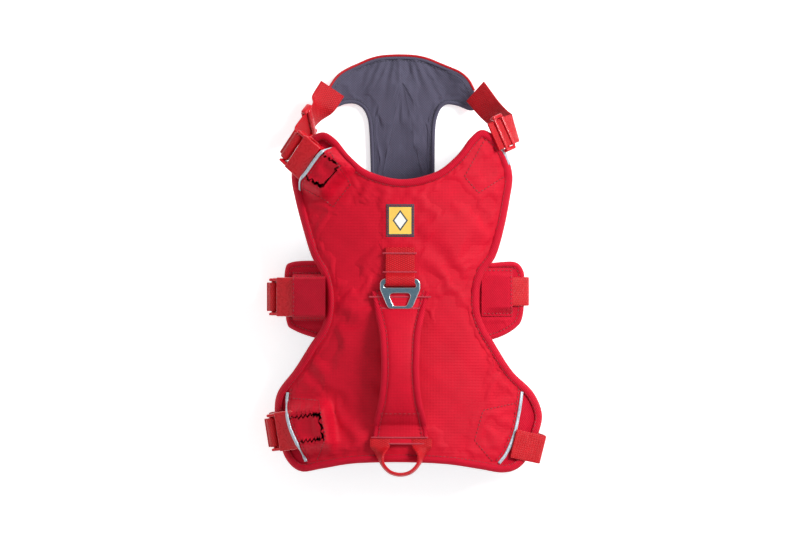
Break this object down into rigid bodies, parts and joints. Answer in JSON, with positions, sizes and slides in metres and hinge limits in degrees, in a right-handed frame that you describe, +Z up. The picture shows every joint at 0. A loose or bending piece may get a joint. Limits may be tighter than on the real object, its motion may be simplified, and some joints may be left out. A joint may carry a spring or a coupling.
{
  "type": "no pull dog harness",
  "caption": "Padded vest harness for a dog with a grab handle, a leash ring, a rear leash loop, side-release buckles and strap sliders.",
  "frame": {"origin": "under the middle of the harness, on the surface that its chest panel lies on", "axes": "+Z up through the back panel, +Y towards the dog's neck, +X to the side without buckles"},
  "size_m": [0.2442, 0.3649, 0.107],
  "materials": {
    "shell_fabric": "woven red polyester ripstop, slight sheen",
    "twill_fabric": "red twill facing, matt",
    "lining_fabric": "grey knitted lining, matt",
    "padding": "closed cell foam",
    "webbing": "red woven nylon webbing",
    "reflective_tape": "pale grey reflective piping",
    "label_fabric": null,
    "sewing_thread": "bonded red thread",
    "ring_metal": "grey-blue anodised, bright edges",
    "buckle_plastic": "moulded red acetal"
  },
  "bodies": {
    "harness_body": {"back_panel_base_facing": "twill_fabric", "back_panel_edge_binding": "shell_fabric", "back_panel_foam": "padding", "back_panel_lining": "lining_fabric", "back_panel_shell": "shell_fabric", "chest_panel_cover": "twill_fabric", "chest_panel_edge_binding": "shell_fabric", "chest_panel_foam": "padding", "chest_panel_lining": "lining_fabric", "girth_anchor_left": "webbing", "girth_buckle_plug": "buckle_plastic", "girth_strap_left": "webbing", "girth_strap_right": "webbing", "handle_front_bartacks": "sewing_thread", "handle_front_tab": "shell_fabric", "handle_rear_bartacks": "sewing_thread", "handle_rear_tab": "shell_fabric", "label_patch": "label_fabric", "left_wing_cover": "shell_fabric", "left_wing_foam": "padding", "left_wing_lining": "lining_fabric", "left_wing_tunnel": "shell_fabric", "neck_anchor_left": "webbing", "neck_buckle_plug": "buckle_plastic", "neck_strap_left": "webbing", "neck_strap_left_turn": "webbing", "neck_strap_right": "webbing", "rear_anchor_left": "webbing", "rear_buckle_plug": "buckle_plastic", "rear_strap_left": "webbing", "rear_strap_right": "webbing", "reflective_trim_neck_left": "reflective_tape", "reflective_trim_neck_right": "reflective_tape", "reflective_trim_rear_left": "reflective_tape", "reflective_trim_rear_right": "reflective_tape", "right_wing_cover": "shell_fabric", "right_wing_foam": "padding", "right_wing_lining": "lining_fabric", "right_wing_tunnel": "shell_fabric", "ring_webbing": "webbing", "ring_webbing_bartacks": "sewing_thread"},
    "leash_ring_body": {"leash_ring": "ring_metal"},
    "rear_loop_body": {"rear_leash_loop": "webbing"},
    "grip_body": {"handle_grip_lower_pad": "twill_fabric", "handle_grip_webbing": "webbing", "handle_grip_upper_pad": "shell_fabric"},
    "neck_socket_body": {"neck_buckle_socket": "buckle_plastic"},
    "neck_prong_a_body": {"neck_buckle_prong_a": "buckle_plastic"},
    "neck_prong_b_body": {"neck_buckle_prong_b": "buckle_plastic"},
    "girth_socket_body": {"girth_buckle_socket": "buckle_plastic"},
    "girth_prong_a_body": {"girth_buckle_prong_a": "buckle_plastic"},
    "girth_prong_b_body": {"girth_buckle_prong_b": "buckle_plastic"},
    "rear_socket_body": {"rear_buckle_socket": "buckle_plastic"},
    "rear_prong_a_body": {"rear_buckle_prong_a": "buckle_plastic"},
    "rear_prong_b_body": {"rear_buckle_prong_b": "buckle_plastic"},
    "girth_slider_body": {"girth_slider": "buckle_plastic"},
    "rear_slider_body": {"rear_slider": "buckle_plastic"},
    "neck_left_slider_body": {"neck_left_slider": "buckle_plastic"},
    "neck_right_slider_body": {"neck_right_slider": "buckle_plastic"}
  },
  "joints": [
    {"name": "leash_ring_swing", "type": "hinge", "parent": "harness_body", "child": "leash_ring_body", "pos_m": [-0.0053, -0.0159, 0.08865], "axis": [-1, 0, 0], "range_deg": [0, 100]},
    {"name": "rear_loop_swing", "type": "hinge", "parent": "harness_body", "child": "rear_loop_body", "pos_m": [-0.005, -0.1575, 0.0863], "axis": [-1, 0, 0], "range_deg": [0, 100]},
    {"name": "handle_lift", "type": "slide", "parent": "harness_body", "child": "grip_body", "axis": [0, 0, 1], "range_m": [0, 0.015]},
    {"name": "neck_buckle_release", "type": "slide", "parent": "harness_body", "child": "neck_socket_body", "axis": [-0.6714, 0.6088, -0.4226], "range_m": [0, 0.02], "deforming": ["neck_buckle_prong_a", "neck_buckle_prong_b", "neck_strap_left_turn", "neck_strap_left"]},
    {"name": "neck_prong_a_squeeze", "type": "hinge", "parent": "harness_body", "child": "neck_prong_a_body", "pos_m": [-0.08666, 0.07738, 0.06923], "axis": [0.5147, -0.0272, -0.8569], "range_deg": [0, 13], "stiffness_Nm_per_rad": 0.1},
    {"name": "neck_prong_b_squeeze", "type": "hinge", "parent": "harness_body", "child": "neck_prong_b_body", "pos_m": [-0.07642, 0.0926, 0.0749], "axis": [-0.5147, 0.0272, 0.8569], "range_deg": [0, 13], "stiffness_Nm_per_rad": 0.1},
    {"name": "girth_buckle_release", "type": "slide", "parent": "harness_body", "child": "girth_socket_body", "axis": [-0.8192, 0, -0.5736], "range_m": [0, 0.02], "deforming": ["girth_buckle_prong_a", "girth_buckle_prong_b", "girth_strap_left"]},
    {"name": "girth_prong_a_squeeze", "type": "hinge", "parent": "harness_body", "child": "girth_prong_a_body", "pos_m": [-0.09516, -0.0393, 0.05244], "axis": [0.5736, 0, -0.8192], "range_deg": [0, 13], "stiffness_Nm_per_rad": 0.1},
    {"name": "girth_prong_b_squeeze", "type": "hinge", "parent": "harness_body", "child": "girth_prong_b_body", "pos_m": [-0.09516, -0.0201, 0.05244], "axis": [-0.5736, 0, 0.8192], "range_deg": [0, 13], "stiffness_Nm_per_rad": 0.1},
    {"name": "rear_buckle_release", "type": "slide", "parent": "harness_body", "child": "rear_socket_body", "axis": [-0.8376, -0.1327, -0.5299], "range_m": [0, 0.02], "deforming": ["rear_buckle_prong_a", "rear_buckle_prong_b", "rear_strap_left"]},
    {"name": "rear_prong_a_squeeze", "type": "hinge", "parent": "harness_body", "child": "rear_prong_a_body", "pos_m": [-0.09267, -0.15309, 0.06598], "axis": [0.5234, 0.0829, -0.848], "range_deg": [0, 13], "stiffness_Nm_per_rad": 0.1},
    {"name": "rear_prong_b_squeeze", "type": "hinge", "parent": "harness_body", "child": "rear_prong_b_body", "pos_m": [-0.09567, -0.13412, 0.06598], "axis": [-0.5234, -0.0829, 0.848], "range_deg": [0, 13], "stiffness_Nm_per_rad": 0.1},
    {"name": "girth_slider_adjust", "type": "slide", "parent": "harness_body", "child": "girth_slider_body", "axis": [0.3873, 0, -0.922], "range_m": [-0.008, 0.0058]},
    {"name": "rear_slider_adjust", "type": "slide", "parent": "harness_body", "child": "rear_slider_body", "axis": [0.163, 0.0258, -0.9863], "range_m": [-0.004, 0.0033]},
    {"name": "neck_left_slider_adjust", "type": "slide", "parent": "harness_body", "child": "neck_left_slider_body", "axis": [0.5052, 0.6739, -0.5391], "range_m": [-0.004, 0.004]},
    {"name": "neck_right_slider_adjust", "type": "slide", "parent": "harness_body", "child": "neck_right_slider_body", "axis": [0.7441, 0.3496, -0.5693], "range_m": [-0.004, 0.004]}
  ],
  "couplings": [
    {"joint": "neck_prong_b_squeeze", "follows": "neck_prong_a_squeeze", "ratio": 1},
    {"joint": "girth_prong_b_squeeze", "follows": "girth_prong_a_squeeze", "ratio": 1},
    {"joint": "rear_prong_b_squeeze", "follows": "rear_prong_a_squeeze", "ratio": 1}
  ]
}
